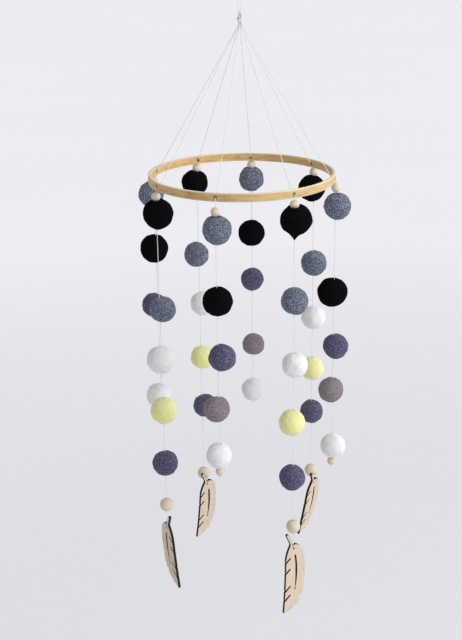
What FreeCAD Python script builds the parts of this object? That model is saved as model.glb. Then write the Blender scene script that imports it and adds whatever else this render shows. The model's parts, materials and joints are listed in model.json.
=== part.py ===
import FreeCAD, Part
import math
import os

from FreeCAD import Vector

# A crib mobile: a bamboo hoop that hangs by eight threads from one knot and its hanging loop. Eight
# strings of felt balls hang from the hoop. The odd strings end in a wooden bead and a wooden feather,
# the even ones in a knot, three of them under a small bead. Millimetres, +Z up. The origin is the top
# of the hanging loop, where it lies on its hook, so all of the mobile is below it.

# ---- threads ----
THREAD_D = 0.8
LOOP_LENGTH = 38.0          # hook to the top of the knot
LOOP_BEND_R = 4.0           # centreline, over the hook
KNOT_H = 12.0
KNOT_D = 7.0
KNOT_EDGE_R = KNOT_D / 3    # the knot's rounded ends
GATHER_R = 1.5              # the eight threads stand on this circle under the knot
GATHER_GAP = 0.4            # knot to the ends of the threads that turn under it
THREAD_BEND_R = 0.8         # where a tight thread goes round a drilled edge
END_KNOT_D = 1.8
END_TAIL = 1.6              # thread below the last piece, with the end knot on it

# ---- hoop ----
HOOP_DROP = 208.0           # hook to the hoop's middle height
HOOP_OD = 200.0
HOOP_H = 9.0
HOOP_T = 3.5
HOOP_EDGE_R = HOOP_T / 5
HOLE_D = 2.0
HOLE_MOUTH = 0.6            # thread's bend, inside the hoop's inner face
FACE_GAP = 0.3              # thread to the hoop's outer face

# ---- beads ----
SMALL_BEAD_D = 9.8
LARGE_BEAD_D = 15.6
BEAD_BORE_D = 2.2
PIECE_GAP = 0.3             # between pieces on one thread that nearly touch

# ---- swing of a string ----
SEAT_PLAY = 1.5             # room round the ring bead in the first ball, for the swing
SEAT_SHIFT = 0.75           # the seat's centre stands out by this, as the strings swing out further
SEAT_SINK = 0.2             # and below the ring bead's centre by this
NUB_SHARE = 0.2             # radius of a felt nub's base, of its ball's diameter
NUB_SINK = 1.0              # the base lies this far inside the ball
TOP_GAP = 0.3               # thread below the first ball, where the string also swings sideways

# ---- feather ----
FEATHER_T = 3.0
FEATHER_HOLE_D = 2.0
SLIT_W = 1.5
SLIT_DEPTHS = (19.0, 32.5, 54.8, 66.0)      # outer ends of the slanting slits, below the hole
SLIT_OUTER_X = -13.5        # beyond the left edge
SLIT_INNER_X = -4.6
SLIT_RISE = 7.4             # over a slanting slit's length
TIE_GAP = 0.4               # tie ring to the wood
NOTCH_TOP = 4.0             # wood above the hole, under the tie ring
TIE_KNOT_D = 1.4
TIE_DROP = 1.0              # bead's foot to where its tie turns towards the feather
BESIDE_GAP = 0.2            # bead's front to the middle of a feather that hangs beside it

# ---- the eight strings, counter-clockwise from above ----
# angle: of the hole, from +X. bead_gap: hoop to ring bead. balls: colour, depth of the centre below
# the hoop's middle, diameter, and how far the ball sits off its thread along X. hole_drop: a feather's
# hole below the foot of its bead. yaw, tilt and lean: its turn about the thread, its top forwards, and
# in its own plane, in degrees. slide: the hole's shift along it. beside: its quill stands before the bead.
STRINGS = [
    dict(angle=207.0, bead_gap=1.0, balls=[
        ("black", 28.5, 32.5, 1.5),
        ("blue_grey", 134.0, 28.5, 2.9),
        ("white", 192.0, 30.8, -1.0),
        ("yellow", 252.0, 30.0, 0.4),
        ("violet", 316.5, 28.5, 0.0)],
        bead_depth=369.0, hole_drop=21.0, yaw=122.0, tilt=-6.8, lean=-4.5, slide=0.0, beside=False),
    dict(angle=254.0, bead_gap=5.2, balls=[
        ("blue_grey", 33.0, 30.3, 1.4),
        ("black", 108.5, 31.5, 0.6),
        ("violet", 170.5, 28.5, 4.4),
        ("taupe", 229.0, 28.5, -2.4),
        ("white", 283.0, 28.0, -1.0)],
        end_bead=True),
    dict(angle=301.0, bead_gap=1.3, balls=[
        ("black", 27.0, 33.6, 1.6),
        ("blue_grey", 113.0, 29.0, 0.5),
        ("white", 184.0, 27.5, 1.0),
        ("yellow", 250.5, 28.5, -2.0),
        ("violet", 316.0, 28.5, -1.5)],
        bead_depth=376.5, hole_drop=19.4, yaw=30.0, tilt=0.0, lean=0.0, slide=0.0, beside=False,
        nub=3.5),
    dict(angle=351.0, bead_gap=1.4, balls=[
        ("blue_grey", 31.0, 29.5, 2.0),
        ("black", 127.5, 33.0, -2.0),
        ("violet", 190.5, 28.5, 2.5),
        ("taupe", 243.0, 29.0, -2.0),
        ("white", 312.0, 29.0, 1.5)],
        end_bead=True),
    dict(angle=36.0, bead_gap=0.6, balls=[
        ("black", 28.5, 30.5, -2.0),
        ("blue_grey", 116.5, 29.5, 1.0),
        ("white", 183.0, 28.0, 1.0),
        ("yellow", 247.0, 28.0, 0.0),
        ("violet", 302.5, 28.5, 0.0)],
        bead_depth=381.0, hole_drop=3.5, yaw=52.0, tilt=15.0, lean=-8.4, slide=-6.6, beside=True),
    dict(angle=83.0, bead_gap=0.3, balls=[
        ("blue_grey", 26.0, 29.2, 0.0),
        ("black", 91.0, 31.0, -0.5),
        ("violet", 148.0, 27.5, 0.0),
        ("taupe", 230.5, 27.0, 1.0),
        ("white", 290.0, 28.5, 0.0)],
        end_bead=False),
    dict(angle=120.0, bead_gap=0.4, balls=[
        ("black", 26.5, 30.5, -2.5),
        ("blue_grey", 112.5, 29.2, -2.6),
        ("white", 173.0, 29.0, 3.3),
        ("yellow", 241.5, 28.5, 1.5),
        ("violet", 305.0, 28.5, 3.3)],
        bead_depth=397.0, hole_drop=3.5, yaw=40.0, tilt=11.0, lean=-4.7, slide=-1.8, beside=True),
    dict(angle=163.0, bead_gap=0.4, balls=[
        ("blue_grey", 25.5, 28.5, -3.3),
        ("black", 87.5, 32.0, -2.1),
        ("violet", 154.5, 28.0, -4.3),
        ("taupe", 223.0, 29.0, 2.0),
        ("white", 266.0, 29.0, -3.0)],
        end_bead=True),
]

# ---- worked out from the sizes above ----
THREAD_R = THREAD_D / 2
HOOP_R = HOOP_OD / 2
HOOP_Z = -HOOP_DROP
STRING_R = HOOP_R + FACE_GAP + THREAD_R
KNOT_TOP = -LOOP_LENGTH
KNOT_BOTTOM = KNOT_TOP - KNOT_H
GATHER_Z = KNOT_BOTTOM - GATHER_GAP
FEATHER_HALF = FEATHER_T / 2
TIE_HALF = FEATHER_HALF + TIE_GAP + THREAD_R
TIE_TOP = NOTCH_TOP + TIE_GAP + THREAD_R
UP = Vector(0, 0, 1)


def outward(angle):
    """Unit vector from the hoop's axis towards a hole."""
    return Vector(math.cos(math.radians(angle)), math.sin(math.radians(angle)), 0)


def on_string(angle, z):
    """A point on a string's own line."""
    return outward(angle) * STRING_R + Vector(0, 0, z)


def round_bar(start, end, diameter):
    """A straight round bar between two points."""
    run = end - start
    return Part.makeCylinder(diameter / 2, run.Length, start, run)


def rounded_path(points, radius, closed=False):
    """Straight runs joined by tangent arcs of one radius. Prints each radius once."""
    count = len(points)
    corners = range(count) if closed else range(1, count - 1)
    entry = {}
    leave = {}
    arcs = {}
    for i in corners:
        corner = points[i]
        back = (points[i - 1] - corner).normalize()
        ahead = (points[(i + 1) % count] - corner).normalize()
        half = math.acos(max(-1.0, min(1.0, back.dot(ahead)))) / 2
        trim = radius / math.tan(half)
        middle = (back + ahead).normalize()
        centre = corner + middle * (radius / math.sin(half))
        entry[i] = corner + back * trim
        leave[i] = corner + ahead * trim
        arcs[i] = Part.Arc(entry[i], centre - middle * radius, leave[i]).toShape()
    edges = []
    for i in range(count if closed else count - 1):
        j = (i + 1) % count
        start = leave.get(i, points[i])
        end = entry.get(j, points[j])
        edges.append(Part.LineSegment(start, end).toShape())
        if j in arcs:
            edges.append(arcs[j])
    return Part.Wire(edges)


def tube(path, diameter, name):
    """A round tube along a path, with its volume compared with its section times its length."""
    first = path.Edges[0]
    start = first.valueAt(first.FirstParameter)
    along = first.tangentAt(first.FirstParameter)
    ring = Part.Wire([Part.Circle(start, along, diameter / 2).toShape()])
    solid = Part.Solid(path.makePipeShell([ring], True, False))
    if solid.Volume < 0:
        solid.reverse()
    expected = math.pi * diameter ** 2 / 4 * path.Length
    print(f"{name}: length {path.Length:.1f} mm, volume {solid.Volume:.2f} of {expected:.2f} mm3")
    return solid


def export(name, shape):
    """Write one node."""
    shape.exportStep(os.path.join("parts", name + ".step"))
    NODES[name] = shape


def hanging_loop():
    """The loop that goes over a hook, with the knot that gathers all eight threads."""
    middle_z = (KNOT_TOP + KNOT_BOTTOM) / 2
    centre_z = -THREAD_R - LOOP_BEND_R
    rise = centre_z - middle_z
    lean = math.asin(LOOP_BEND_R / math.hypot(THREAD_R, rise)) - math.atan(THREAD_R / rise)
    side = Vector(LOOP_BEND_R * math.cos(lean), 0, centre_z - LOOP_BEND_R * math.sin(lean))
    other = Vector(-side.x, 0, side.z)
    path = Part.Wire([
        Part.LineSegment(Vector(THREAD_R, 0, middle_z), side).toShape(),
        Part.Arc(side, Vector(0, 0, -THREAD_R), other).toShape(),
        Part.LineSegment(other, Vector(-THREAD_R, 0, middle_z)).toShape()])
    loop = tube(path, THREAD_D, f"hanging_loop, bend {LOOP_BEND_R} mm over the hook")
    knot = Part.makeCylinder(KNOT_D / 2, KNOT_H, Vector(0, 0, KNOT_BOTTOM))
    rims = [e for e in knot.Edges if isinstance(e.Curve, Part.Circle)]
    return knot.makeFillet(KNOT_EDGE_R, rims).fuse(loop)


def hoop_ring():
    """The bamboo band, its edges eased, with a drilled hole for each string."""
    band = Part.makeCylinder(HOOP_R, HOOP_H, Vector(0, 0, HOOP_Z - HOOP_H / 2))
    inside = Part.makeCylinder(HOOP_R - HOOP_T, HOOP_H, Vector(0, 0, HOOP_Z - HOOP_H / 2))
    band = band.cut(inside)
    rims = [e for e in band.Edges if isinstance(e.Curve, Part.Circle)]
    band = band.makeFillet(HOOP_EDGE_R, rims)
    for string in STRINGS:
        way = outward(string["angle"])
        middle = Vector(0, 0, HOOP_Z)
        hole = round_bar(middle + way * (HOOP_R - 2 * HOOP_T), middle + way * (HOOP_R + HOOP_T), HOLE_D)
        band = band.cut(hole)
    return band


def ring_bead_z(string):
    """Height of the centre of the bead that hangs just under the hoop."""
    return HOOP_Z - HOOP_H / 2 - string["bead_gap"] - SMALL_BEAD_D / 2


def pivot_z(string):
    """Bottom of the ring bead, where the string swings in and out."""
    return ring_bead_z(string) - SMALL_BEAD_D / 2


def suspension_thread(number, string):
    """One thread: knot, drilled hole, down the hoop's outer face, and through the ring bead."""
    way = outward(string["angle"])
    points = [
        way * GATHER_R + Vector(0, 0, GATHER_Z),
        way * (HOOP_R - HOOP_T - HOLE_MOUTH) + Vector(0, 0, HOOP_Z),
        on_string(string["angle"], HOOP_Z),
        on_string(string["angle"], pivot_z(string))]
    path = rounded_path(points, THREAD_BEND_R)
    return tube(path, THREAD_D, f"suspension thread {number}, bends {THREAD_BEND_R} mm")


def sphere(centre, diameter):
    """A sphere whose seam and poles are level, clear of any upright hole through it."""
    solid = Part.makeSphere(diameter / 2)
    solid.rotate(Vector(0, 0, 0), Vector(1, 0, 0), 90)
    return solid.translated(centre)


def upright_hole(middle, height, diameter):
    """A round cutter that passes right through a piece of that height, half as far again each way."""
    reach = UP * height
    return round_bar(middle - reach, middle + reach, diameter)


def bead(centre, diameter):
    """A round wooden bead, drilled up and down."""
    return sphere(centre, diameter).cut(upright_hole(centre, diameter, BEAD_BORE_D))


def felt_ball(string, row):
    """One felt ball, threaded a little off its middle. The felt grips the thread."""
    colour, depth, diameter, offset = row
    axis = on_string(string["angle"], HOOP_Z - depth)
    ball = sphere(axis + Vector(offset, 0, 0), diameter)
    return ball.cut(upright_hole(axis, diameter, THREAD_D))


def ball_foot_z(row):
    """Height at which a string's thread leaves the bottom of a ball."""
    colour, depth, diameter, offset = row
    return HOOP_Z - depth - math.sqrt((diameter / 2) ** 2 - offset ** 2)


def first_ball(string):
    """The top ball, with the dimple that the ring bead sits in and its own short run of thread."""
    row = string["balls"][0]
    ball = felt_ball(string, row)
    bottom = on_string(string["angle"], second_pivot_z(string))
    if "nub" in string:
        ball = ball.fuse(felt_nub(string, row, bottom))
        ball = ball.cut(upright_hole(bottom, 2 * string["nub"], THREAD_D))
    pivot = on_string(string["angle"], pivot_z(string))
    seat_r = SMALL_BEAD_D / 2 + SEAT_PLAY + PIECE_GAP
    seat = pivot + outward(string["angle"]) * SEAT_SHIFT + UP * (SMALL_BEAD_D / 2 - SEAT_SINK)
    ball = ball.cut(sphere(seat, 2 * seat_r))
    stub_top = seat - outward(string["angle"]) * SEAT_SHIFT - UP * (seat_r + PIECE_GAP)
    return Part.makeCompound([*ball.Solids, round_bar(bottom, stub_top, THREAD_D)])


def felt_nub(string, row, foot):
    """A wisp of felt pulled down along the thread, from inside the ball to a blunt tip."""
    colour, depth, diameter, offset = row
    base_r = diameter * NUB_SHARE
    base_z = HOOP_Z - depth - math.sqrt((diameter / 2) ** 2 - base_r ** 2) + NUB_SINK
    return Part.makeCone(THREAD_D, base_r, base_z - foot.z, foot, UP)


def second_pivot_z(string):
    """Bottom of the first ball, where the rest of the string swings sideways."""
    return ball_foot_z(string["balls"][0]) - string.get("nub", 0)


def end_bead_z(string):
    """Height of the centre of an even string's end bead, under its last ball."""
    return ball_foot_z(string["balls"][-1]) - PIECE_GAP - SMALL_BEAD_D / 2


def feather_bead_z(string):
    """Height of the centre of the bead above a feather."""
    return HOOP_Z - string["bead_depth"]


def feather_pivot(string):
    """Foot of the bead above a feather, where the feather swings on its tie."""
    return on_string(string["angle"], feather_bead_z(string) - LARGE_BEAD_D / 2)


def string_thread(string):
    """The string's thread below its first ball, with its end knot and any end bead."""
    start = on_string(string["angle"], second_pivot_z(string) - TOP_GAP)
    if "bead_depth" in string:
        return round_bar(start, feather_pivot(string) + UP * PIECE_GAP, THREAD_D)
    extra = []
    foot = ball_foot_z(string["balls"][-1])
    if string["end_bead"]:
        foot = end_bead_z(string) - SMALL_BEAD_D / 2
        extra.append(bead(on_string(string["angle"], end_bead_z(string)), SMALL_BEAD_D))
    end = on_string(string["angle"], foot - END_TAIL)
    thread = round_bar(start, end, THREAD_D).fuse(Part.makeSphere(END_KNOT_D / 2, end))
    return Part.makeCompound([thread, *extra])


def feather_placement(string):
    """Moves a shape drawn in X and Z about the feather's hole to where the feather hangs."""
    forward = LARGE_BEAD_D / 2 + BESIDE_GAP if string["beside"] else 0
    turn = FreeCAD.Rotation(UP, string["yaw"])
    tilt = FreeCAD.Rotation(Vector(1, 0, 0), string["tilt"])
    lean = FreeCAD.Rotation(Vector(0, 1, 0), string["lean"])
    shift = turn.multVec(Vector(string["slide"], -forward, 0))
    hole = feather_pivot(string) - UP * string["hole_drop"]
    return FreeCAD.Placement(hole + shift, turn.multiply(tilt).multiply(lean))


def feather_outline():
    """The feather's outline, in X and Z about its hole, seen from its front."""
    def line(a, b):
        return Part.LineSegment(Vector(a[0], 0, a[1]), Vector(b[0], 0, b[1])).toShape()

    def arc(a, m, b):
        return Part.Arc(*(Vector(p[0], 0, p[1]) for p in (a, m, b))).toShape()

    quill_left, quill_right = (-9.6, 18.0), (-6.8, 19.0)
    notch_left, notch_right = (-1.9, 6.0), (2.0, 5.4)
    tip = (-13.2, -79.9)
    right_side = [
        (13.0, -9.6), (11.7, -10.4), (13.6, -12.0), (14.5, -19.6), (13.1, -20.4), (14.7, -21.8),
        (14.9, -28.4), (12.5, -29.6), (14.9, -31.0), (14.9, -33.8), (13.3, -34.6), (14.8, -36.0),
        (14.4, -42.2), (12.8, -43.0), (14.3, -44.4)]
    right_foot = [
        (12.4, -57.0), (10.8, -57.8), (11.4, -59.4), (10.4, -63.4), (7.4, -63.9), (7.1, -67.9),
        (5.4, -71.6), (-1.0, -74.4), (-1.6, -76.0), (-6.4, -77.4)]
    edges = [
        arc(quill_left, (-8.6, 19.2), quill_right),
        line(quill_right, notch_left),
        arc(notch_left, (-0.1, NOTCH_TOP), notch_right),
        arc(notch_right, (9.4, 0.0), right_side[0]),
        *(line(a, b) for a, b in zip(right_side, right_side[1:])),
        arc(right_side[-1], (13.8, -51.0), right_foot[0]),
        *(line(a, b) for a, b in zip(right_foot, right_foot[1:])),
        arc(right_foot[-1], (-9.8, -79.1), tip),
        arc(tip, (-10.9, -46.6), (-10.2, -13.6)),
        arc((-10.2, -13.6), (-8.3, -4.6), (-4.6, 3.6)),
        line((-4.6, 3.6), (-4.4, 6.0)),
        line((-4.4, 6.0), quill_left)]
    return Part.Wire(edges)


def slanting_slit(depth):
    """A saw cut that rises inwards from the feather's left edge."""
    outer = Vector(SLIT_OUTER_X, 0, -depth)
    inner = Vector(SLIT_INNER_X, 0, SLIT_RISE - depth)
    run = (inner - outer).normalize()
    across = Vector(-run.z, 0, run.x) * (SLIT_W / 2)
    corners = [outer + across, outer - across, inner - across, inner + across, outer + across]
    cut = Part.Face(Part.makePolygon(corners)).extrude(Vector(0, 2 * FEATHER_T, 0))
    return cut.translated(Vector(0, -FEATHER_T, 0))


def midrib_slit():
    """The curved slit down the feather's middle, wide at its top and pointed at its foot."""
    top, foot = Vector(1.3, 0, -9.4), Vector(1.9, 0, -51.0)
    right = Part.Arc(top + Vector(SLIT_W, 0, 0), Vector(4.4, 0, -30.0), foot).toShape()
    left = Part.Arc(foot, Vector(2.6, 0, -30.0), top).toShape()
    lid = Part.Arc(top, top + Vector(SLIT_W / 2, 0, SLIT_W / 2), top + Vector(SLIT_W, 0, 0)).toShape()
    cut = Part.Face(Part.Wire([lid, right, left])).extrude(Vector(0, 2 * FEATHER_T, 0))
    return cut.translated(Vector(0, -FEATHER_T, 0))


def feather_plate(string):
    """The flat wooden feather with its hole and slits."""
    plate = Part.Face(feather_outline()).extrude(Vector(0, FEATHER_T, 0))
    plate = plate.translated(Vector(0, -FEATHER_HALF, 0))
    hole = round_bar(Vector(0, -FEATHER_T, 0), Vector(0, FEATHER_T, 0), FEATHER_HOLE_D)
    plate = plate.cut(hole).cut(midrib_slit())
    for depth in SLIT_DEPTHS:
        plate = plate.cut(slanting_slit(depth))
    plate.Placement = feather_placement(string)
    return plate


def feather_tie(number, string):
    """The ring of thread through the feather's hole, and the strand that carries it from the bead."""
    placement = feather_placement(string)
    corners = [Vector(0, -TIE_HALF, 0), Vector(0, TIE_HALF, 0),
               Vector(0, TIE_HALF, TIE_TOP), Vector(0, -TIE_HALF, TIE_TOP)]
    path = rounded_path(corners, THREAD_BEND_R, closed=True)
    ring = tube(path, THREAD_D, f"feather tie {number}, bends {THREAD_BEND_R} mm")
    ring.Placement = placement
    held = Vector(0, TIE_HALF, TIE_TOP / 2) if string["beside"] else Vector(0, 0, TIE_TOP + THREAD_R)
    knot = placement.multVec(held)
    turn = feather_pivot(string) - UP * TIE_DROP
    pieces = [
        Part.makeSphere(TIE_KNOT_D / 2, knot),
        round_bar(knot, turn, THREAD_D),
        Part.makeSphere(THREAD_R, turn),
        round_bar(turn, feather_pivot(string), THREAD_D)]
    return ring.fuse(pieces)


def feather(number, string):
    """A wooden feather with the thread that ties it to its bead."""
    return Part.makeCompound([*feather_plate(string).Solids, *feather_tie(number, string).Solids])


NODES = {}
os.makedirs("parts", exist_ok=True)
export("hanging_loop", hanging_loop())
export("hoop_ring", hoop_ring())
export("suspension_threads", Part.makeCompound(
    [suspension_thread(n, s) for n, s in enumerate(STRINGS, 1)]))
export("ring_beads", Part.makeCompound(
    [bead(on_string(s["angle"], ring_bead_z(s)), SMALL_BEAD_D) for s in STRINGS]))
for number, string in enumerate(STRINGS, 1):
    for place, row in enumerate(string["balls"], 1):
        solid = first_ball(string) if place == 1 else felt_ball(string, row)
        export(f"string_{number}_ball_{place}_{row[0]}", solid)
    export(f"string_{number}_thread", string_thread(string))
    if "bead_depth" in string:
        bead_centre = on_string(string["angle"], feather_bead_z(string))
        export(f"string_{number}_feather_bead", bead(bead_centre, LARGE_BEAD_D))
        export(f"string_{number}_feather", feather(number, string))
print(f"{len(NODES)} nodes")
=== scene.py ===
import json
import math
import random

import bmesh
import bpy
from mathutils import Matrix, Vector, noise
from mathutils.geometry import delaunay_2d_cdt
from mathutils.kdtree import KDTree


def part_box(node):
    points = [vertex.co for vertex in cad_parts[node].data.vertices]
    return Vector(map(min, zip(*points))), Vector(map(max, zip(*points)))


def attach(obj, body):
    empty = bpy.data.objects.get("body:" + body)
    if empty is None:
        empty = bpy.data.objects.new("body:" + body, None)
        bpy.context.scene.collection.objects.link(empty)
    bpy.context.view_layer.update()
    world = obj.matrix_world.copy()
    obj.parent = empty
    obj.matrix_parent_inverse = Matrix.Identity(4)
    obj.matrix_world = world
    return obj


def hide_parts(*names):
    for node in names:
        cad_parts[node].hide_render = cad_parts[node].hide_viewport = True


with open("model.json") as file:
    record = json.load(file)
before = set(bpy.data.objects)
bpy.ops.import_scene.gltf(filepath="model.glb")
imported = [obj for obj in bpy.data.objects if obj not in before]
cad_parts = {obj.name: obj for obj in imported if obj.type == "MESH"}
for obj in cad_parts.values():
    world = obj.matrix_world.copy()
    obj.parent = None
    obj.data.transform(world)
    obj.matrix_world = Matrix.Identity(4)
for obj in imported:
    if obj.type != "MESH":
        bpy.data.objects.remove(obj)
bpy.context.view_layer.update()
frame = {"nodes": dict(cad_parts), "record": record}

# ---- sizes of the part, in metres, as the CAD has them ----
MM = 0.001
THREAD_D = 0.8 * MM
HOOP_Z = -208 * MM
HOOP_R = 100 * MM
HOOP_H = 9 * MM
HOOP_T = 3.5 * MM
HOLE_D = 2 * MM
STRING_R = 100.7 * MM       # where a thread runs down the hoop's outer face
KNOT_TOP = -38 * MM
KNOT_BOTTOM = -50 * MM
GATHER_R = 1.5 * MM         # where the threads leave the gathering knot
GATHER_Z = -50.4 * MM
MOUTH_R = 95.9 * MM         # a thread's bend just inside the hoop's inner face
SMALL_BEAD_R = 4.9 * MM
LARGE_BEAD_R = 7.8 * MM
BORE_R = 1.1 * MM
SEAT_R = 6.7 * MM           # the hollow of a first ball, round its ring bead
SEAT_OUT = 0.75 * MM
SEAT_UP = 4.7 * MM
NUB = 3.5 * MM              # the tuft under string 3's first ball
NUB_STRING = 3
END_KNOT_UP = 0.9 * MM      # from an even string's lower end to the middle of its knot
END_BEAD_UP = 2.5 * MM      # and to the foot of its bead
TIE_DROP = 1.0 * MM
TIE_HALF = 2.3 * MM         # half the width of the thread's ring through a feather's hole
TIE_TOP = 4.8 * MM
UP = Vector((0, 0, 1))
STRINGS = range(1, 9)

# How each feather hangs: its turns in degrees, then where its hole is from its bead's foot.
FEATHERS = {
    1: dict(yaw=122, tilt=-6.8, lean=-4.5, slide=0, forward=0, drop=21.0 * MM),
    3: dict(yaw=30, tilt=0, lean=0, slide=0, forward=0, drop=19.4 * MM),
    5: dict(yaw=52, tilt=15, lean=-8.4, slide=-6.6 * MM, forward=8 * MM, drop=3.5 * MM),
    7: dict(yaw=40, tilt=11, lean=-4.7, slide=-1.8 * MM, forward=8 * MM, drop=3.5 * MM),
}


def joint_place(name):
    """Where a joint of the frame turns."""
    for joint in frame["record"]["behaviour"]["joints"]:
        if joint["name"] == name:
            return Vector(joint["pos_m"])
    raise ValueError(name)


def thread_angle(n):
    """The direction of a string's hole from the hoop's axis, in radians."""
    place = joint_place(f"string_{n}_in_out")
    return math.atan2(place.y, place.x)


def outward(n):
    """The level direction from the hoop's axis to a string."""
    return Vector((math.cos(thread_angle(n)), math.sin(thread_angle(n)), 0))


def middle(node):
    """The middle of a frame node's box."""
    low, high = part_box(node)
    return (Vector(low) + Vector(high)) / 2


# ---- camera, as fitted to the photographed view ----
CAMERA_LENS = 66.69
CAMERA_PLACE = Vector((-0.0137, -1.2461, 0.0732))
CAMERA_AIM = Vector((-0.0137, 0, -0.3716))
CAMERA_ROLL = math.radians(-0.83)


def make_camera():
    """Stands where the object is seen a little from above, at 1.3 m."""
    data = bpy.data.cameras.new("camera")
    data.sensor_width = 36
    data.lens = CAMERA_LENS
    camera = bpy.data.objects.new("camera", data)
    bpy.context.collection.objects.link(camera)
    turn = (CAMERA_AIM - CAMERA_PLACE).to_track_quat("-Z", "Y").to_matrix().to_4x4()
    roll = Matrix.Rotation(CAMERA_ROLL, 4, "Z")
    camera.matrix_world = Matrix.Translation(CAMERA_PLACE) @ turn @ roll
    bpy.context.scene.camera = camera


# ---- meshes ----
def add_object(name, bm, materials, smooth=True):
    """A finished mesh as an object at the origin, with one material or a list of them."""
    bmesh.ops.recalc_face_normals(bm, faces=bm.faces)
    mesh = bpy.data.meshes.new(name)
    bm.to_mesh(mesh)
    bm.free()
    for polygon in mesh.polygons:
        polygon.use_smooth = smooth
    obj = bpy.data.objects.new(name, mesh)
    bpy.context.collection.objects.link(obj)
    for material in materials if isinstance(materials, list) else [materials]:
        mesh.materials.append(material)
    return obj


SPLINE_STEPS = 48


def spline_points(points):
    """The points of a smooth line whose control points are the route's."""
    data = bpy.data.curves.new("route", "CURVE")
    data.dimensions = "3D"
    data.resolution_u = SPLINE_STEPS
    spline = data.splines.new("NURBS")
    spline.points.add(len(points) - 1)
    for target, point in zip(spline.points, points):
        target.co = (*point, 1)
    spline.order_u = 3
    spline.use_endpoint_u = True
    route = bpy.data.objects.new("route", data)
    bpy.context.collection.objects.link(route)
    bpy.context.view_layer.update()
    mesh = bpy.data.meshes.new_from_object(route)
    found = [v.co.copy() for v in mesh.vertices]
    bpy.data.objects.remove(route)
    bpy.data.curves.remove(data)
    bpy.data.meshes.remove(mesh)
    return found


def walk(points, step):
    """Points every step along a line, with both its ends."""
    total = sum((b - a).length for a, b in zip(points, points[1:]))
    count = max(2, round(total / step))
    gap = total / count
    out = [points[0].copy()]
    due = gap
    gone = 0
    for a, b in zip(points, points[1:]):
        run = (b - a).length
        while run > 0 and gone + run >= due and len(out) < count:
            out.append(a.lerp(b, (due - gone) / run))
            due += gap
        gone += run
    out.append(points[-1].copy())
    return out


PLIES = 3
PLY_SIDES = 4
PLY_PITCH = 2.9 * MM
PLY_HOLLOW = 0.84           # a thread's radius between its plies, as a part of the whole
PLY_CREST = 0.18            # how much the plies add to it
THREAD_STEP = 0.36 * MM
HIDDEN_END = 1.2 * MM       # a string's thread starts this far above the frame's, towards its ball
HOOP_BEND = 5 * MM          # length of a suspension thread's bend at the hoop's mouth
OUTER_BEND = 2.4 * MM       # and where it turns down the outer face


def twisted_tube(bm, points, radius, phase=0.0, closed=False):
    """A tube of twisted plies along a line, closed at both ends or joined into a ring."""
    sides = PLIES * PLY_SIDES
    count = len(points)
    rings = []
    side = None
    gone = 0.0
    for i, point in enumerate(points):
        if closed:
            along = (points[(i + 1) % count] - points[i - 1]).normalized()
        else:
            along = (points[min(i + 1, count - 1)] - points[max(i - 1, 0)]).normalized()
        if side is None:
            side = along.orthogonal().normalized()
        side = (side - along * side.dot(along)).normalized()
        across = along.cross(side)
        if i:
            gone += (point - points[i - 1]).length
        twist = phase + math.tau * gone / PLY_PITCH
        ring = []
        for k in range(sides):
            a = math.tau * k / sides
            lobe = abs(math.cos((a * PLIES) / 2))
            r = radius * (PLY_HOLLOW + PLY_CREST * lobe)
            spot = point + (side * math.cos(a + twist) + across * math.sin(a + twist)) * r
            ring.append(bm.verts.new(spot))
        rings.append(ring)
    joins = list(zip(rings, rings[1:]))
    if closed:
        joins.append((rings[-1], rings[0]))
    for a, b in joins:
        for k in range(sides):
            m = (k + 1) % sides
            bm.faces.new((a[k], a[m], b[m], b[k]))
    if not closed:
        bm.faces.new(rings[0][::-1])
        bm.faces.new(rings[-1])


def make_cord(name, route, node, body, material):
    """A declared thread: twisted plies along its route."""
    line = walk(spline_points(route), THREAD_STEP)
    bm = bmesh.new()
    twisted_tube(bm, line, THREAD_D / 2)
    cord = add_object(name, bm, material)
    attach(cord, body)
    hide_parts(node)


def suspension_route(n):
    """Knot, straight run, through the hoop's hole, down its outer face and through the ring bead."""
    way = outward(n)
    gather = way * GATHER_R + UP * GATHER_Z
    mouth = way * MOUTH_R + UP * HOOP_Z
    back = (gather - mouth).normalized()
    outer = way * STRING_R + UP * HOOP_Z
    foot = Vector((*outer.xy, joint_place(f"string_{n}_in_out").z))
    return [gather, mouth + back * HOOP_BEND, mouth, outer, outer - UP * OUTER_BEND, foot]


def string_route(n):
    """Straight down, from the first ball's foot to the feather's bead or the end knot."""
    low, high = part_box(f"string_{n}_thread")
    axis = middle(f"string_{n}_thread")
    foot = low.z if n % 2 else low.z + END_KNOT_UP
    top, end = Vector((*axis.xy, high.z + HIDDEN_END)), Vector((*axis.xy, foot))
    return [top, (top + end) / 2, end]


LOOP_ROUTE = [Vector(p) * MM for p in (
    (0.4, 0, -44), (2.6, 0, -22), (4.2, 0, -6), (4.5, 0, -0.4),
    (-4.5, 0, -0.4), (-4.2, 0, -6), (-2.6, 0, -22), (-0.4, 0, -44))]


def make_cords(cotton):
    make_cord("hanging_loop_thread", LOOP_ROUTE, "hanging_loop", "hanger", cotton)
    for n in STRINGS:
        make_cord(f"suspension_thread_{n}", suspension_route(n), "suspension_threads", "hoop",
                  cotton)
        make_cord(f"string_thread_{n}", string_route(n), f"string_{n}_thread", f"string_{n}",
                  cotton)


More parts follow.
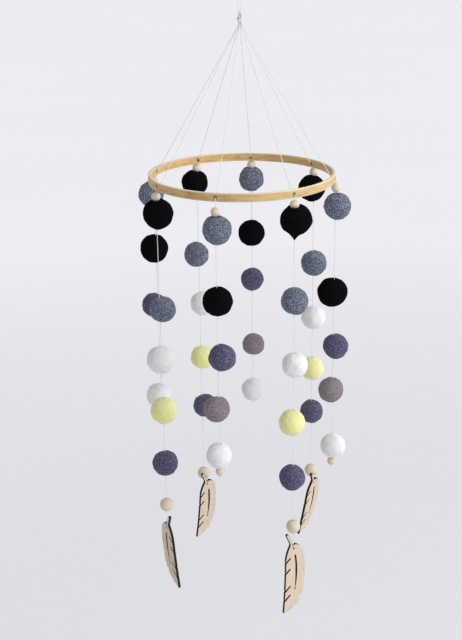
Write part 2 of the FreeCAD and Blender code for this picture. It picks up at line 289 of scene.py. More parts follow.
# ---- node materials ----
class Nodes:
    """Short calls that build one material's nodes."""

    def __init__(self, name):
        self.material = bpy.data.materials.new(name)
        self.material.use_nodes = True
        self.tree = self.material.node_tree
        self.shader = self.tree.nodes["Principled BSDF"]
        self.place = self.add("ShaderNodeTexCoord").outputs["Object"]

    def add(self, kind, **settings):
        node = self.tree.nodes.new(kind)
        for key, value in settings.items():
            setattr(node, key, value)
        return node

    def link(self, source, target):
        self.tree.links.new(source, target)

    def scaled(self, scale, source=None):
        """Coordinates stretched by a factor on each axis."""
        node = self.add("ShaderNodeMapping")
        node.inputs["Scale"].default_value = scale
        self.link(source or self.place, node.inputs["Vector"])
        return node.outputs["Vector"]

    def noise(self, scale, detail=4, roughness=0.6, distortion=0.0, source=None):
        node = self.add("ShaderNodeTexNoise")
        node.inputs["Scale"].default_value = scale
        node.inputs["Detail"].default_value = detail
        node.inputs["Roughness"].default_value = roughness
        node.inputs["Distortion"].default_value = distortion
        self.link(source or self.place, node.inputs["Vector"])
        return node.outputs["Fac"]

    def cracks(self, scale, source):
        """Distance to the edges of random cells."""
        node = self.add("ShaderNodeTexVoronoi", feature="DISTANCE_TO_EDGE")
        node.inputs["Scale"].default_value = scale
        self.link(source, node.inputs["Vector"])
        return node.outputs["Distance"]

    def ramp(self, source, stops):
        """A colour ramp, its stops as pairs of a position and a colour."""
        node = self.add("ShaderNodeValToRGB")
        elements = node.color_ramp.elements
        while len(elements) < len(stops):
            elements.new(0.5)
        for element, (place, colour) in zip(elements, stops):
            element.position = place
            element.color = (*colour, 1)
        self.link(source, node.inputs["Fac"])
        return node.outputs["Color"]

    def grey(self, source, low, high, a=0.0, b=1.0):
        """A value ramp from a at low to b at high."""
        node = self.add("ShaderNodeMapRange")
        node.inputs["From Min"].default_value = low
        node.inputs["From Max"].default_value = high
        node.inputs["To Min"].default_value = a
        node.inputs["To Max"].default_value = b
        self.link(source, node.inputs["Value"])
        return node.outputs["Result"]

    def math(self, operation, a, b=None):
        node = self.add("ShaderNodeMath", operation=operation)
        for socket, value in zip(node.inputs, (a, b)):
            if isinstance(value, (int, float)):
                socket.default_value = value
            elif value is not None:
                self.link(value, socket)
        return node.outputs["Value"]

    def mix(self, factor, a, b):
        """Colour a, going to colour b as the factor goes to 1."""
        node = self.add("ShaderNodeMix", data_type="RGBA")
        for socket, value in ((node.inputs[0], factor), (node.inputs[6], a), (node.inputs[7], b)):
            if isinstance(value, (int, float)):
                socket.default_value = value
            elif isinstance(value, tuple):
                socket.default_value = (*value, 1)
            else:
                self.link(value, socket)
        return node.outputs[2]

    def bump(self, height, distance, strength=1.0, below=None):
        node = self.add("ShaderNodeBump")
        node.inputs["Distance"].default_value = distance
        node.inputs["Strength"].default_value = strength
        self.link(height, node.inputs["Height"])
        if below is not None:
            self.link(below, node.inputs["Normal"])
        return node.outputs["Normal"]

    def finish(self, colour, normal, roughness=None, **values):
        """Links the last sockets, and sets the shader's even values on the sockets themselves."""
        self.link(colour, self.shader.inputs["Base Color"])
        self.link(normal, self.shader.inputs["Normal"])
        if roughness is not None:
            self.link(roughness, self.shader.inputs["Roughness"])
        for key, value in values.items():
            self.shader.inputs[key.replace("_", " ")].default_value = value
        return self.material


def shade(colour, factor):
    return tuple(c * factor for c in colour)


HAIR_WAVE = 3.4 * MM        # how far the hairs wander off straight


def felt(name, base, light, contrast=1.0, sheen=0.12, shine=0.08, glow=0.0):
    """Wool felt: tangled fibres in a mottled tone of its own, paler hairs, and painted shade in the
    hollows and painted light on the crests of its bump.
    """
    n = Nodes(name)
    warp = n.add("ShaderNodeTexNoise")
    warp.inputs["Scale"].default_value = 420
    warp.inputs["Detail"].default_value = 3
    n.link(n.place, warp.inputs["Vector"])
    shift = n.add("ShaderNodeVectorMath", operation="SCALE")
    n.link(warp.outputs["Color"], shift.inputs[0])
    shift.inputs["Scale"].default_value = HAIR_WAVE
    moved = n.add("ShaderNodeVectorMath", operation="ADD")
    n.link(n.place, moved.inputs[0])
    n.link(shift.outputs["Vector"], moved.inputs[1])
    tangle = n.noise(640, 5, 0.7, 1.3)
    hairs = n.cracks(400, moved.outputs["Vector"])
    fine = n.cracks(900, moved.outputs["Vector"])
    patches = n.noise(90, 2, 0.5)
    # The tangle noise is also the coarse bump's height, so this ramp paints shade into the felt's
    # hollows and light onto its crests, over the felt's own mottled tone.
    tone = n.ramp(tangle, [(0.40, shade(base, 1 - 0.45 * contrast)), (0.5, base),
                           (0.62, shade(base, 1 + 0.6 * contrast))])
    tone = n.mix(n.grey(patches, 0.35, 0.65, 0.0, 0.5), tone, shade(base, 1 - 0.25 * contrast))
    tone = n.mix(n.grey(hairs, 0.0, 0.12, 0.62 * contrast, 0.0), tone, light)
    tone = n.mix(n.grey(fine, 0.0, 0.05, 0.3 * contrast, 0.0), tone, light)
    coarse = n.bump(tangle, 0.7 * MM, 0.9)
    normal = n.bump(hairs, 0.5 * MM, 0.6, coarse)
    return n.finish(tone, normal, Roughness=1.0, Sheen_Weight=sheen, Sheen_Roughness=0.5,
                    Specular_IOR_Level=shine, Subsurface_Weight=glow, Subsurface_Scale=3 * MM,
                    Subsurface_Radius=(1, 1, 1))


def cotton_material():
    """Pale twisted cotton."""
    n = Nodes("cotton")
    fibre = n.noise(2400, 4, 0.7, 0.5)
    tone = n.ramp(fibre, [(0.3, (0.74, 0.74, 0.75)), (0.7, (0.90, 0.90, 0.91))])
    return n.finish(tone, n.bump(fibre, 0.08 * MM, 0.6), Roughness=0.95, Specular_IOR_Level=0.2,
                    Sheen_Weight=0.2)


BURN_IN = 2.1 * MM          # the brown mark round a drilled hole, out to where it fades
BURN_OUT = 3.0 * MM


def bamboo_material():
    """Split bamboo: fibres that run round the band, paler rims, dark specks and burnt holes."""
    n = Nodes("bamboo")
    parts = n.add("ShaderNodeSeparateXYZ")
    n.link(n.place, parts.inputs[0])
    x, y, z = parts.outputs
    round_it = n.math("MULTIPLY", n.math("ARCTAN2", y, x), HOOP_R)
    out = n.math("SQRT", n.math("ADD", n.math("MULTIPLY", x, x), n.math("MULTIPLY", y, y)))
    join = n.add("ShaderNodeCombineXYZ")
    for source, target in zip((round_it, z, out), join.inputs):
        n.link(source, target)
    along = join.outputs[0]
    streaks = n.noise(1.0, 5, 0.62, 0.2, n.scaled((55, 560, 420), along))
    broad = n.noise(1.0, 2, 0.5, 0.3, n.scaled((9, 260, 220), along))
    patches = n.noise(1.0, 2, 0.5, 0.0, n.scaled((7, 40, 40), along))
    specks = n.noise(1.0, 3, 0.6, 0.0, n.scaled((230, 900, 500), along))
    tone = n.ramp(streaks, [(0.32, (0.17, 0.088, 0.027)), (0.43, (0.46, 0.295, 0.108)),
                            (0.66, (0.73, 0.53, 0.245))])
    tone = n.mix(n.grey(broad, 0.35, 0.7, 0.0, 0.55), tone, (0.53, 0.34, 0.118))
    tone = n.mix(n.grey(patches, 0.42, 0.68, 0.0, 0.55), tone, (0.69, 0.53, 0.27))
    inner = n.grey(out, HOOP_R - 0.8 * HOOP_T, HOOP_R - 0.3 * HOOP_T, 0.3, 0.0)
    tone = n.mix(inner, tone, (0.72, 0.44, 0.17))
    off_middle = n.math("ABSOLUTE", n.math("SUBTRACT", z, HOOP_Z))
    rim = n.grey(off_middle, 0.36 * HOOP_H, 0.5 * HOOP_H, 0.0, 0.75)
    tone = n.mix(n.math("MULTIPLY", rim, n.grey(broad, 0.3, 0.6, 0.5, 1.0)), tone, (0.93, 0.84, 0.66))
    tone = n.mix(n.grey(specks, 0.68, 0.72, 0.0, 0.85), tone, (0.09, 0.038, 0.014))
    for number in STRINGS:
        hole = n.add("ShaderNodeVectorMath", operation="DISTANCE")
        n.link(n.place, hole.inputs[0])
        hole.inputs[1].default_value = outward(number) * (HOOP_R - HOOP_T / 2) + UP * HOOP_Z
        burn = n.grey(hole.outputs["Value"], BURN_IN, BURN_OUT, 0.85, 0.0)
        tone = n.mix(burn, tone, (0.055, 0.025, 0.010))
    normal = n.bump(streaks, 0.12 * MM, 0.55)
    rough = n.grey(streaks, 0.3, 0.7, 0.62, 0.46)
    return n.finish(tone, normal, rough, Specular_IOR_Level=0.4)


def bead_material():
    """Bare turned wood: soft rings, fine pores."""
    n = Nodes("bead_wood")
    wave = n.add("ShaderNodeTexWave", wave_type="BANDS", bands_direction="X")
    wave.inputs["Scale"].default_value = 260
    wave.inputs["Distortion"].default_value = 7
    wave.inputs["Detail"].default_value = 3
    wave.inputs["Detail Scale"].default_value = 1.4
    n.link(n.scaled((1.0, 0.35, 0.22)), wave.inputs["Vector"])
    pores = n.noise(1.0, 4, 0.7, 0.0, n.scaled((2600, 2600, 500)))
    tone = n.ramp(wave.outputs["Fac"], [(0.0, (0.57, 0.475, 0.35)), (1.0, (0.80, 0.72, 0.60))])
    tone = n.mix(n.grey(pores, 0.56, 0.72, 0.0, 0.55), tone, (0.27, 0.20, 0.135))
    normal = n.bump(pores, 0.05 * MM, 0.4)
    return n.finish(tone, normal, Roughness=0.62, Specular_IOR_Level=0.35)


def feather_material():
    """Thin birch board, its grain along the feather, scorched towards each cut edge."""
    n = Nodes("feather_wood")
    grain = n.noise(1.0, 5, 0.62, 0.6, n.scaled((900, 900, 36)))
    flame = n.noise(1.0, 2, 0.5, 1.4, n.scaled((120, 120, 24)))
    pores = n.noise(1.0, 3, 0.7, 0.0, n.scaled((2300, 2300, 260)))
    tone = n.ramp(grain, [(0.28, (0.49, 0.385, 0.285)), (0.5, (0.66, 0.55, 0.43)),
                          (0.74, (0.80, 0.70, 0.585))])
    tone = n.mix(n.grey(flame, 0.36, 0.66, 0.0, 0.4), tone, (0.69, 0.57, 0.445))
    tone = n.mix(n.grey(pores, 0.6, 0.75, 0.0, 0.5), tone, (0.27, 0.19, 0.13))
    burnt = n.add("ShaderNodeAttribute", attribute_name="scorch").outputs["Fac"]
    ragged = n.math("ADD", burnt, n.math("MULTIPLY", n.math("SUBTRACT", grain, 0.5), 0.5))
    tone = n.mix(n.grey(ragged, 0.12, 0.7, 0.0, 1.0), tone, (0.035, 0.016, 0.008))
    normal = n.bump(grain, 0.06 * MM, 0.5)
    return n.finish(tone, normal, Roughness=0.6, Specular_IOR_Level=0.3)


def scorched_material():
    """The laser-cut edge: charred, with fine lines across the board."""
    n = Nodes("scorched_edge")
    lines = n.noise(1.0, 4, 0.65, 0.0, n.scaled((1600, 1600, 260)))
    tone = n.ramp(lines, [(0.3, (0.006, 0.004, 0.003)), (0.7, (0.030, 0.018, 0.011))])
    return n.finish(tone, n.bump(lines, 0.08 * MM, 0.6), Roughness=0.85, Specular_IOR_Level=0.2)


# Each felt's ground colour, its pale hairs, and where it differs from the others in strength.
FELTS = {
    "black": dict(base=(0.0030, 0.0030, 0.0036), light=(0.010, 0.010, 0.012), contrast=0.7, sheen=0.0,
                  shine=0.02),
    "blue_grey": dict(base=(0.062, 0.077, 0.116), light=(0.40, 0.45, 0.54), contrast=1.15),
    "white": dict(base=(0.81, 0.81, 0.815), light=(0.92, 0.92, 0.92), contrast=0.14, glow=0.45),
    "yellow": dict(base=(0.83, 0.82, 0.385), light=(0.92, 0.91, 0.62), contrast=0.18, glow=0.45),
    "violet": dict(base=(0.052, 0.046, 0.094), light=(0.26, 0.235, 0.37), contrast=1.1),
    "taupe": dict(base=(0.190, 0.158, 0.174), light=(0.50, 0.46, 0.48), contrast=0.7),
}


# ---- hoop ----
HOOP_SEGMENTS = 288
HOOP_EDGE = 0.8 * MM        # radius of the band's rounded rims
EDGE_STEPS = 4
FACE_ROWS = 6               # rows of faces up the band's inner and outer face
BAND_WAVE = 0.10 * MM       # how far the band is off a true ring: in slow waves,
BAND_RIPPLE = 0.05 * MM     # in ripples of its faces,
BAND_WARP = 0.14 * MM       # and up and down
HOLE_SEGMENTS = 28
SHARP_ANGLE = math.radians(35)


def make_hoop(material):
    """The bamboo band with rounded rims, a little uneven as split bamboo is, and its drilled holes."""
    profile = []
    half_t, half_h = HOOP_T / 2, HOOP_H / 2
    for sx, sz, start in ((1, 1, 0), (-1, 1, 90), (-1, -1, 180), (1, -1, 270)):
        for step in range(EDGE_STEPS + 1):
            a = math.radians(start + step * 90 / EDGE_STEPS)
            profile.append((sx * (half_t - HOOP_EDGE) + HOOP_EDGE * math.cos(a),
                            sz * (half_h - HOOP_EDGE) + HOOP_EDGE * math.sin(a)))
    dense = []
    for (x0, z0), (x1, z1) in zip(profile, profile[1:] + profile[:1]):
        cuts = FACE_ROWS if abs(z1 - z0) > half_h - HOOP_EDGE else 1
        dense += [(x0 + (x1 - x0) * k / cuts, z0 + (z1 - z0) * k / cuts) for k in range(cuts)]
    bm = bmesh.new()
    rings = []
    for i in range(HOOP_SEGMENTS):
        a = math.tau * i / HOOP_SEGMENTS
        way = Vector((math.cos(a), math.sin(a), 0))
        ring = []
        for x, z in dense:
            spot = way * (HOOP_R - half_t + x) + UP * (HOOP_Z + z)
            uneven = noise.noise(Vector((way.x * 3.1, way.y * 3.1, z * 60)))
            ripple = noise.noise(Vector((way.x * 14, way.y * 14, z * 420 + 9)))
            spot += way * (BAND_WAVE * uneven + BAND_RIPPLE * ripple)
            spot += UP * BAND_WARP * noise.noise(Vector((way.x * 4, way.y * 4, 5)))
            ring.append(bm.verts.new(spot))
        rings.append(ring)
    for i in range(HOOP_SEGMENTS):
        a, b = rings[i], rings[(i + 1) % HOOP_SEGMENTS]
        for k in range(len(dense)):
            m = (k + 1) % len(dense)
            bm.faces.new((a[k], b[k], b[m], a[m]))
    hoop = add_object("bamboo_hoop", bm, material)
    drill = bmesh.new()
    for n in STRINGS:
        way = outward(n)
        turn = way.to_track_quat("Z", "Y").to_matrix().to_4x4()
        place = Matrix.Translation(way * (HOOP_R - half_t) + UP * HOOP_Z) @ turn
        bmesh.ops.create_cone(drill, cap_ends=True, segments=HOLE_SEGMENTS, radius1=HOLE_D / 2,
                              radius2=HOLE_D / 2, depth=3 * HOOP_T, matrix=place)
    drills = add_object("drills", drill, scorched)
    cut = hoop.modifiers.new("holes", "BOOLEAN")
    cut.object = drills
    cut.operation = "DIFFERENCE"
    cut.solver = "EXACT"
    cut.material_mode = "TRANSFER"
    dg = bpy.context.evaluated_depsgraph_get()
    mesh = bpy.data.meshes.new_from_object(hoop.evaluated_get(dg))
    hoop.modifiers.clear()
    hoop.data = mesh
    bpy.data.objects.remove(drills)
    for polygon in mesh.polygons:
        polygon.use_smooth = True
    mesh.set_sharp_from_angle(angle=SHARP_ANGLE)
    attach(hoop, "hoop")
    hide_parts("hoop_ring")


# ---- beads ----
BEAD_SIDES = {SMALL_BEAD_R: 40, LARGE_BEAD_R: 56}
BEAD_STEPS = {SMALL_BEAD_R: 18, LARGE_BEAD_R: 26}
BEAD_DEPTH = 0.992          # a bead is this much flatter than a ball
EASE_R = 0.25 * MM          # how far the bore's mouth is eased outwards
EASE_Z = 0.2 * MM           # and inwards
BORE_ROWS = 6
BEAD_WOBBLE = 0.006


def make_bead(name, centre, radius, node, body, seed):
    """A turned bead: slightly flattened ends, eased hole, bore right through."""
    rng = random.Random(seed)
    around, steps = BEAD_SIDES[radius], BEAD_STEPS[radius]
    start = math.asin((BORE_R + EASE_R) / radius)
    profile = []
    for i in range(steps + 1):
        a = start + (math.pi - 2 * start) * i / steps
        profile.append((radius * math.sin(a), radius * math.cos(a) * BEAD_DEPTH))
    end_z = profile[0][1]
    eased = [(BORE_R + EASE_R * (1 - math.sin(a)), EASE_Z * (1 - math.cos(a)))
             for a in (math.radians(30 * k) for k in (1, 2, 3))]
    profile += [(r, -end_z + inwards) for r, inwards in eased]
    for k in range(1, BORE_ROWS):
        profile.append((BORE_R, -end_z + EASE_Z + (2 * end_z - 2 * EASE_Z) * k / BORE_ROWS))
    profile += [(r, end_z - inwards) for r, inwards in reversed(eased)]
    bm = bmesh.new()
    rings = []
    for j in range(around):
        a = math.tau * j / around
        ring = []
        for r, z in profile:
            spot = Vector((r * math.cos(a), r * math.sin(a), z))
            if r > BORE_R + 0.3 * MM:
                spot *= 1 + BEAD_WOBBLE * noise.noise(spot * 300 + Vector((seed, 0, 0)))
            ring.append(bm.verts.new(centre + spot))
        rings.append(ring)
    for j in range(around):
        a, b = rings[j], rings[(j + 1) % around]
        for k in range(len(profile)):
            m = (k + 1) % len(profile)
            bm.faces.new((a[k], b[k], b[m], a[m]))
    bmesh.ops.rotate(bm, cent=centre, matrix=Matrix.Rotation(rng.uniform(0, math.tau), 3, "Z"),
                     verts=bm.verts)
    bead = add_object(name, bm, bead_wood)
    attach(bead, body)
    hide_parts(node)


def make_beads():
    """The ring beads, the large beads above the feathers and the beads under strings 2, 4 and 8."""
    for n in STRINGS:
        pivot = joint_place(f"string_{n}_in_out")
        make_bead(f"ring_bead_{n}", pivot + UP * SMALL_BEAD_R, SMALL_BEAD_R, "ring_beads", "hoop", n)
        node = f"string_{n}_thread"
        low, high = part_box(node)
        if n % 2:
            make_bead(f"feather_bead_{n}", middle(f"string_{n}_feather_bead"), LARGE_BEAD_R,
                      f"string_{n}_feather_bead", f"feather_bead_{n}", 20 + n)
        elif high.x - low.x > SMALL_BEAD_R:
            centre = Vector((*middle(node).xy, low.z + END_BEAD_UP + SMALL_BEAD_R))
            make_bead(f"end_bead_{n}", centre, SMALL_BEAD_R, node, f"string_{n}", 40 + n)


# ---- felt balls ----
NUB_BALL_DEPTH = 0.90       # the nub's ball is flatter below its middle than a round one
NUB_SPREAD = 0.22           # the nub's width, as a part of its ball's radius
NUB_PULL = 0.25             # how far the felt round the nub is drawn in to the thread
DENT_DEPTH = 1.7 * MM       # the felt's dimple where a thread goes in
DENT_WIDTH = 1.3 * MM
DENT_BELOW = 0.6            # and where it comes out, as a part of that
SEAT_LIP = 1.4 * MM         # how softly the felt turns into a first ball's seat
FAR = 1.0
# The felt's unevenness, in parts of the radius: a level, then heights with their frequencies.
BALL_LEVEL = 0.992
LUMPS = ((0.050, 1.4), (0.032, 3.1))
TUFTS = ((0.0075, 11), (0.0045, 26))
CREASE_DEPTH = 0.010
CREASE_WIDTH = 0.16
CREASE_SCALE = 5.2


def soft_min(a, b, width):
    """The smaller of two lengths, rounded where they cross."""
    h = max(width - abs(a - b), 0) / width
    return min(a, b) - h * h * width / 4


def seat_reach(way, seat):
    """How far along a direction from a ball's centre its seat begins, or far off if it faces away."""
    b = way.dot(seat)
    gap = b * b - (seat.length_squared - SEAT_R ** 2)
    if b <= 0:
        return FAR
    return b - math.sqrt(gap) if gap > 0 else b + 3 * math.sqrt(-gap)


def make_ball(n, place, node, material):
    """One felted ball: uneven, dimpled at its thread, and seated round a ring bead if it is first."""
    seed = n * 10 + place
    rng = random.Random(seed)
    low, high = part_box(node)
    radius = (high.x - low.x) / 2
    pivot = joint_place(f"string_{n}_in_out")
    centre = middle(node)
    seat = None
    nub = NUB if (n, place) == (NUB_STRING, 1) else 0
    if place == 1:
        centre.z = low.z + radius + nub
        seat = pivot + outward(n) * SEAT_OUT + UP * SEAT_UP - centre
    shift = Vector((seed * 3.7, seed * 1.9, seed * 2.3))
    squeeze = Vector((rng.uniform(0.985, 1.015), rng.uniform(0.985, 1.015), rng.uniform(0.985, 1.01)))
    bm = bmesh.new()
    bmesh.ops.create_icosphere(bm, subdivisions=6, radius=1.0)
    for v in bm.verts:
        way = v.co.normalized()
        lumps = sum(height * noise.noise(way * scale + shift) for height, scale in LUMPS)
        tufts = sum(height * noise.noise(way * scale + shift) for height, scale in TUFTS)
        off_crease = abs(noise.noise(way * CREASE_SCALE + shift * 2))
        crease = CREASE_DEPTH * max(0.0, CREASE_WIDTH - off_crease) / CREASE_WIDTH
        reach = radius * (BALL_LEVEL + lumps + tufts - crease)
        spot = Vector((way.x * squeeze.x, way.y * squeeze.y, way.z * squeeze.z)) * reach
        if seat is not None:
            line = spot.normalized()
            spot = line * soft_min(spot.length, seat_reach(line, seat), SEAT_LIP)
        from_axis = ((centre.xy + spot.xy) - pivot.xy).length
        dent = math.exp(-(from_axis / DENT_WIDTH) ** 2) * DENT_DEPTH
        if spot.z > 0 and seat is None:
            spot.z -= dent
        elif spot.z < 0 and nub:
            pull = math.exp(-(from_axis / (NUB_SPREAD * radius)) ** 1.3)
            spot.z = spot.z * NUB_BALL_DEPTH - pull * (nub + radius * (1 - NUB_BALL_DEPTH) + 1.2 * MM)
            to_axis = Vector((*(pivot.xy - (centre.xy + spot.xy)), 0))
            spot += to_axis * NUB_PULL * pull
        elif spot.z < 0:
            spot.z += DENT_BELOW * dent
        v.co = centre + spot
    ball = add_object(f"felt_ball_{n}_{place}", bm, material)
    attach(ball, f"string_{n}_top" if place == 1 else f"string_{n}")
    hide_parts(node)


def make_balls():
    """Every ball of the frame, in its node's colour."""
    materials = {name: felt("felt_" + name, **look) for name, look in FELTS.items()}
    for node in sorted(frame["nodes"]):
        words = node.split("_", 4)
        if len(words) == 5 and words[2] == "ball":
            make_ball(int(words[1]), int(words[3]), node, materials[words[4]])


# ---- knots ----
TREFOIL_STEPS = 60
END_KNOT_SIZE = 2.3 * MM
TIE_KNOT_SIZE = 2.2 * MM
TAIL = 1.2 * MM             # how far an end knot's cut tail leans out
TAIL_DROP = 1.4 * MM        # and hangs below that
BUNDLE_R = 2.1 * MM         # the threads' bundle inside the gathering knot
NECK_R = 0.9 * MM           # and where it goes up into the loop
WRAPS = 5
WRAP_R = 2.75 * MM
WRAP_PITCH = 0.78 * MM
WRAP_STEPS = 72
OVER_R = 3.0 * MM           # the strand that crosses over the wraps
OVER_STEPS = 40


def trefoil(centre, size, turn):
    """A closed overhand knot's line, size across."""
    line = []
    for i in range(TREFOIL_STEPS):
        t = math.tau * i / TREFOIL_STEPS
        spot = Vector((math.sin(t) + 2 * math.sin(2 * t),
                       math.cos(t) - 2 * math.cos(2 * t),
                       -math.sin(3 * t)))
        line.append(centre + turn @ (spot * size / 6))
    return line


def add_small_knot(bm, centre, size, seed):
    """An overhand knot that lies as its seed turns it."""
    rng = random.Random(seed)
    turn = Matrix.Rotation(rng.uniform(0, math.tau), 3, "Z") @ Matrix.Rotation(math.radians(70), 3, "X")
    twisted_tube(bm, trefoil(centre, size, turn), THREAD_D * 0.44, closed=True)


def make_end_knots(cotton):
    """The knot under each even string's last piece, with its short cut tail."""
    for n in (2, 4, 6, 8):
        node = f"string_{n}_thread"
        low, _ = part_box(node)
        centre = Vector((*middle(node).xy, low.z + END_KNOT_UP))
        bm = bmesh.new()
        add_small_knot(bm, centre + UP * 0.3 * MM, END_KNOT_SIZE, n)
        rng = random.Random(n)
        lean = Vector((rng.uniform(-0.5, 0.5), rng.uniform(-0.5, 0.5), -1))
        tail = [centre, centre + lean * TAIL, centre + lean * TAIL - UP * TAIL_DROP]
        twisted_tube(bm, walk(spline_points(tail), THREAD_STEP), THREAD_D * 0.42)
        knot = add_object(f"end_knot_{n}", bm, cotton)
        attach(knot, f"string_{n}")
        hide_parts(node)


def make_top_knot(cotton):
    """The gathering knot: the threads' bundle, wrapped slantwise by its own strands."""
    bm = bmesh.new()
    mid = (KNOT_TOP + KNOT_BOTTOM) / 2
    for n in STRINGS:
        way = outward(n)
        bulge = way * BUNDLE_R
        line = [way * GATHER_R + UP * (KNOT_BOTTOM - 0.3 * MM), bulge + UP * (mid - 3.4 * MM),
                bulge + UP * (mid + 2.6 * MM), way * NECK_R + UP * (KNOT_TOP + 0.6 * MM)]
        twisted_tube(bm, walk(spline_points(line), THREAD_STEP), THREAD_D / 2, phase=n - 1)
    tilt = Matrix.Rotation(math.radians(24), 3, "Y") @ Matrix.Rotation(math.radians(12), 3, "X")
    for k in range(WRAPS):
        line = []
        height = (k - WRAPS // 2) * WRAP_PITCH
        for i in range(WRAP_STEPS):
            a = math.tau * i / WRAP_STEPS
            r = WRAP_R + 0.16 * MM * math.sin(2 * a + k)
            spot = tilt @ Vector((r * math.cos(a), r * math.sin(a), height))
            line.append(spot + UP * (mid - 0.4 * MM + 0.25 * MM * math.sin(a + k)))
        twisted_tube(bm, line, THREAD_D / 2, phase=k, closed=True)
    over = []
    for i in range(OVER_STEPS):
        t = i / (OVER_STEPS - 1)
        a = math.radians(-60 + 190 * t)
        r = OVER_R - 0.9 * MM * (2 * t - 1) ** 2
        over.append(Vector((r * math.cos(a), r * math.sin(a), mid + (-4.4 + 8.6 * t) * MM)))
    twisted_tube(bm, over, THREAD_D / 2)
    knot = add_object("gathering_knot", bm, cotton)
    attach(knot, "hanger")
    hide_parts("hanging_loop")


# ---- feathers ----
def connected(bm):
    """The separate lumps of a mesh, as lists of vertices."""
    left = set(bm.verts)
    lumps = []
    while left:
        seed = left.pop()
        lump = [seed]
        for v in lump:
            for e in v.link_edges:
                o = e.other_vert(v)
                if o in left:
                    left.remove(o)
                    lump.append(o)
        lumps.append(lump)
    return lumps


def feather_place(n):
    """Where a feather's hole is and how its board is turned."""
    hang = FEATHERS[n]
    turn = Matrix.Rotation(math.radians(hang["yaw"]), 4, "Z")
    shift = turn @ Vector((hang["slide"], -hang["forward"], 0))
    place = Matrix.Translation(joint_place(f"feather_{n}_swing") - UP * hang["drop"] + shift) @ turn
    place = place @ Matrix.Rotation(math.radians(hang["tilt"]), 4, "X")
    return place @ Matrix.Rotation(math.radians(hang["lean"]), 4, "Y")


RIM = 0.6 * MM              # width of the scorched rim on a feather's faces
EASE = 0.12 * MM            # how much its edge is rounded off
CLEAN_EDGE_X = 7 * MM       # right of this, from the hole, the cut is not scorched
RIM_STEP = 0.5 * MM         # between the points of a face's mesh along a cut
FACE_STEP = 3 * MM          # and in the open
MARK_STEP = 0.1 * MM        # between the places that the distance to a cut is measured from
WELD = 0.002 * MM


def plate_outline(n):
    """The rim of the frame's feather as pairs of points in X and Z about its hole, and its thickness."""
    bm = bmesh.new()
    bm.from_mesh(frame["nodes"][f"string_{n}_feather"].data)
    bmesh.ops.remove_doubles(bm, verts=bm.verts, dist=WELD)
    bmesh.ops.transform(bm, matrix=feather_place(n).inverted(), verts=bm.verts)
    lumps = sorted(connected(bm), key=lambda lump: min(v.co.z for v in lump) - max(v.co.z for v in lump))
    for lump in lumps[1:]:
        bmesh.ops.delete(bm, geom=lump, context="VERTS")
    bm.normal_update()
    front = {f for f in bm.faces if f.normal.y < -0.98}
    rim = [tuple(v.co.xz for v in e.verts) for e in bm.edges if len(front & set(e.link_faces)) == 1]
    thickness = max(v.co.y for v in bm.verts) - min(v.co.y for v in bm.verts)
    bm.free()
    return rim, thickness


def inside(spot, rim):
    """Whether a point is within the outline, and not in a hole or slit."""
    crossings = 0
    for a, b in rim:
        if (a.y > spot.y) != (b.y > spot.y):
            crossings += a.x + (spot.y - a.y) * (b.x - a.x) / (b.y - a.y) > spot.x
    return crossings % 2 == 1


def nearest_cut(rim):
    """A search for the distance to the nearest cut edge."""
    marks = []
    for a, b in rim:
        count = max(1, math.ceil((b - a).length / MARK_STEP))
        marks += [a.lerp(b, i / count) for i in range(count)]
    tree = KDTree(len(marks))
    for i, mark in enumerate(marks):
        tree.insert((mark.x, mark.y, 0), i)
    tree.balance()
    return lambda spot: tree.find((spot.x, spot.y, 0))[2]


def face_points(rim, distance):
    """Points for a face's mesh: two rows along every cut, and a loose grid between them."""
    spots = []
    for a, b in rim:
        across = Vector((a.y - b.y, b.x - a.x)).normalized()
        count = max(1, round((b - a).length / RIM_STEP))
        for i in range(count):
            mark = a.lerp(b, (i + 0.5) / count)
            for reach in (-RIM, -RIM / 2, RIM / 2, RIM):
                spot = mark + across * reach
                if distance(spot) > 0.9 * abs(reach) and inside(spot, rim):
                    spots.append(spot)
    low = Vector((min(a.x for a, b in rim), min(a.y for a, b in rim)))
    high = Vector((max(a.x for a, b in rim), max(a.y for a, b in rim)))
    for i in range(int((high.x - low.x) / FACE_STEP)):
        for j in range(int((high.y - low.y) / FACE_STEP)):
            spot = low + Vector((i + 0.5, j + 0.5)) * FACE_STEP
            if distance(spot) > 2 * RIM and inside(spot, rim):
                spots.append(spot)
    return spots


def make_feather(n, materials):
    """The flat wooden feather, its edges eased and scorched where they are cut."""
    rim, thickness = plate_outline(n)
    distance = nearest_cut(rim)
    corners = [spot for pair in rim for spot in pair]
    joins = [(2 * i, 2 * i + 1) for i in range(len(rim))]
    points, _, triangles, *_ = delaunay_2d_cdt(
        corners + face_points(rim, distance), joins, [], 0, 0.001 * MM)
    bm = bmesh.new()
    scorch = bm.verts.layers.float.new("scorch")
    verts = [bm.verts.new((p.x, -thickness / 2, p.y)) for p in points]
    for triangle in triangles:
        centre = sum((points[i] for i in triangle), Vector((0, 0))) / 3
        if inside(centre, rim):
            bm.faces.new([verts[i] for i in triangle])
    bmesh.ops.delete(bm, geom=[v for v in bm.verts if not v.link_faces], context="VERTS")
    back = bmesh.ops.extrude_face_region(bm, geom=bm.faces[:])["geom"]
    bmesh.ops.translate(bm, verts=[v for v in back if isinstance(v, bmesh.types.BMVert)],
                        vec=(0, thickness, 0))
    for v in bm.verts:
        gap = distance(v.co.xz)     # none on the cut itself, where the edge is eased
        v[scorch] = max(0.0, 1 - gap / RIM) if v.co.x < CLEAN_EDGE_X else 0.0
        if gap < 0.01 * MM:
            v.co.y -= math.copysign(EASE, v.co.y)
    bm.normal_update()
    for f in bm.faces:
        f.material_index = 0 if abs(f.normal.y) > 0.6 else 1
    bmesh.ops.transform(bm, matrix=feather_place(n), verts=bm.verts)
    feather = add_object(f"feather_{n}", bm, materials, smooth=False)
    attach(feather, f"feather_{n}")
    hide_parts(f"string_{n}_feather")


